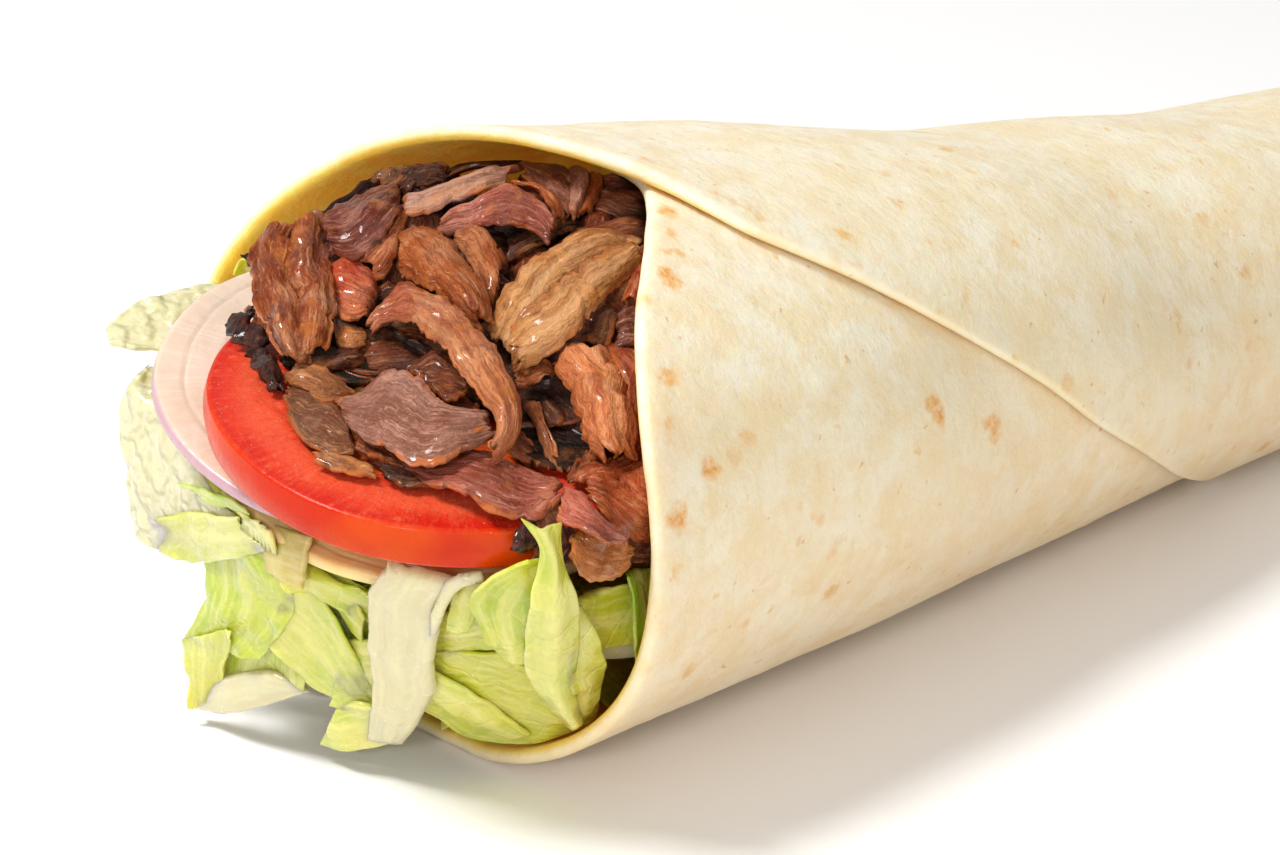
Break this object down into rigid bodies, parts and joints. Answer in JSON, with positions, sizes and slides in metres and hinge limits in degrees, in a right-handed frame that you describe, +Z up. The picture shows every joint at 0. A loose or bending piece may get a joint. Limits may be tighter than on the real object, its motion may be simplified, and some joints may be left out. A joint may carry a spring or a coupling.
{
  "type": "doner kebab wrap",
  "caption": "Flour tortilla rolled round shaved doner meat, tomato, onion and lettuce, lying on its side with the filled mouth open and the tail pressed shut.",
  "frame": {"origin": "centre of the whole wrap's footprint, on the table it lies on", "axes": "+X along the roll from the filled mouth to the pressed tail, +Y to the side away from the free flap edge, +Z up"},
  "size_m": [0.2518, 0.0885, 0.0723],
  "materials": {
    "tortilla": "matte floury bread with toasted spots",
    "meat": "browned, fibrous, greasy sheen",
    "lettuce": "wet waxy leaf",
    "tomato": "wet cut flesh and glossy skin",
    "onion": "translucent, moist"
  },
  "bodies": {
    "root": {"tortilla": "tortilla", "meat": "meat", "lettuce": "lettuce", "tomato_slice": "tomato", "onion_slice_upper": "onion", "onion_slice_lower": "onion"}
  },
  "joints": []
}
